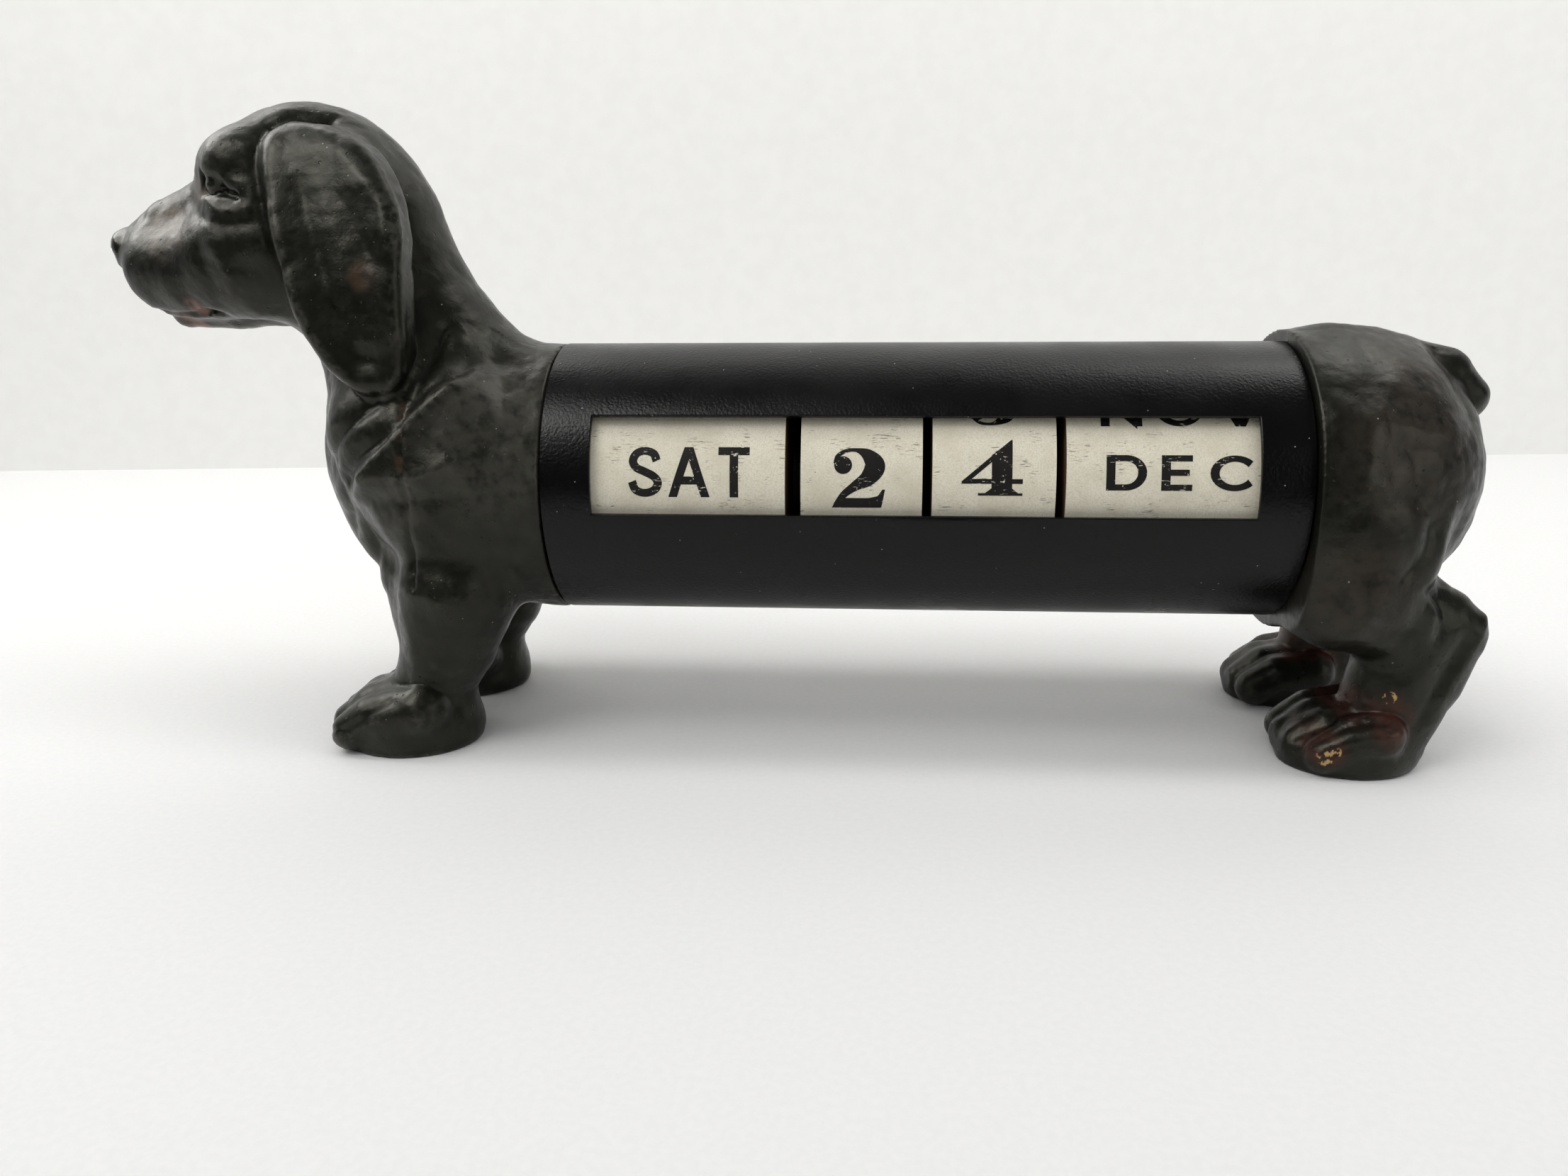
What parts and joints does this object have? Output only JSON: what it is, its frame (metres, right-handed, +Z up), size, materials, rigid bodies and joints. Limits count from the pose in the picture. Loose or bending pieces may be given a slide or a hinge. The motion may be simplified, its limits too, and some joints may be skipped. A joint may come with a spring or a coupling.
{
  "type": "perpetual desk calendar",
  "caption": "Dachshund-shaped desk calendar: cast front and rear halves on a windowed steel tube, with printed weekday, date and month drums that roll on one axle.",
  "frame": {"origin": "on the table, below the middle of the dog's length, on its centre line", "axes": "+Z up, +X along the tube from head to tail, the window faces -Y"},
  "size_m": [0.282, 0.0604, 0.129],
  "materials": {
    "casting_front": "satin charcoal paint over hand-worked cast resin, with brown dry brushing on the muzzle",
    "casting_rear": "satin charcoal paint over hand-worked cast resin, with brown dry brushing at the ankles",
    "tube_black": "semi-gloss black powder coat with a fine orange peel",
    "plug_wood": "turned, unfinished",
    "rod_steel": "drawn",
    "hardware_steel": "zinc plated",
    "spacer_fibre": "vulcanised fibre",
    "label_paper": "aged cream paper with worn black print",
    "drum_board": "raw spiral-wound board",
    "disc_board": "pressed fibreboard"
  },
  "bodies": {
    "dog_body": {"front_casting": "casting_front", "rear_casting": "casting_rear", "body_tube": "tube_black", "front_plug": "plug_wood", "rear_plug": "plug_wood", "axle_rod": "rod_steel", "axle_washers": "hardware_steel", "axle_nuts": "hardware_steel", "front_end_spacer": "spacer_fibre", "day_tens_spacer": "spacer_fibre", "tens_units_spacer": "spacer_fibre", "units_month_spacer": "spacer_fibre", "rear_end_spacer": "spacer_fibre"},
    "day_drum": {"day_label": "label_paper", "day_shell": "drum_board", "day_left_disc": "disc_board", "day_right_disc": "disc_board"},
    "tens_drum": {"tens_label": "label_paper", "tens_shell": "drum_board", "tens_left_disc": "disc_board", "tens_right_disc": "disc_board"},
    "units_drum": {"units_label": "label_paper", "units_shell": "drum_board", "units_left_disc": "disc_board", "units_right_disc": "disc_board"},
    "month_drum": {"month_label": "label_paper", "month_shell": "drum_board", "month_left_disc": "disc_board", "month_right_disc": "disc_board"}
  },
  "joints": [
    {"name": "day_spin", "type": "hinge", "parent": "dog_body", "child": "day_drum", "pos_m": [-0.0166, 0, 0.0535], "axis": [1, 0, 0], "continuous": true},
    {"name": "tens_spin", "type": "hinge", "parent": "dog_body", "child": "tens_drum", "pos_m": [0.0174, 0, 0.0535], "axis": [1, 0, 0], "continuous": true},
    {"name": "units_spin", "type": "hinge", "parent": "dog_body", "child": "units_drum", "pos_m": [0.0422, 0, 0.0535], "axis": [1, 0, 0], "continuous": true},
    {"name": "month_spin", "type": "hinge", "parent": "dog_body", "child": "month_drum", "pos_m": [0.0738, 0, 0.0535], "axis": [1, 0, 0], "continuous": true}
  ]
}
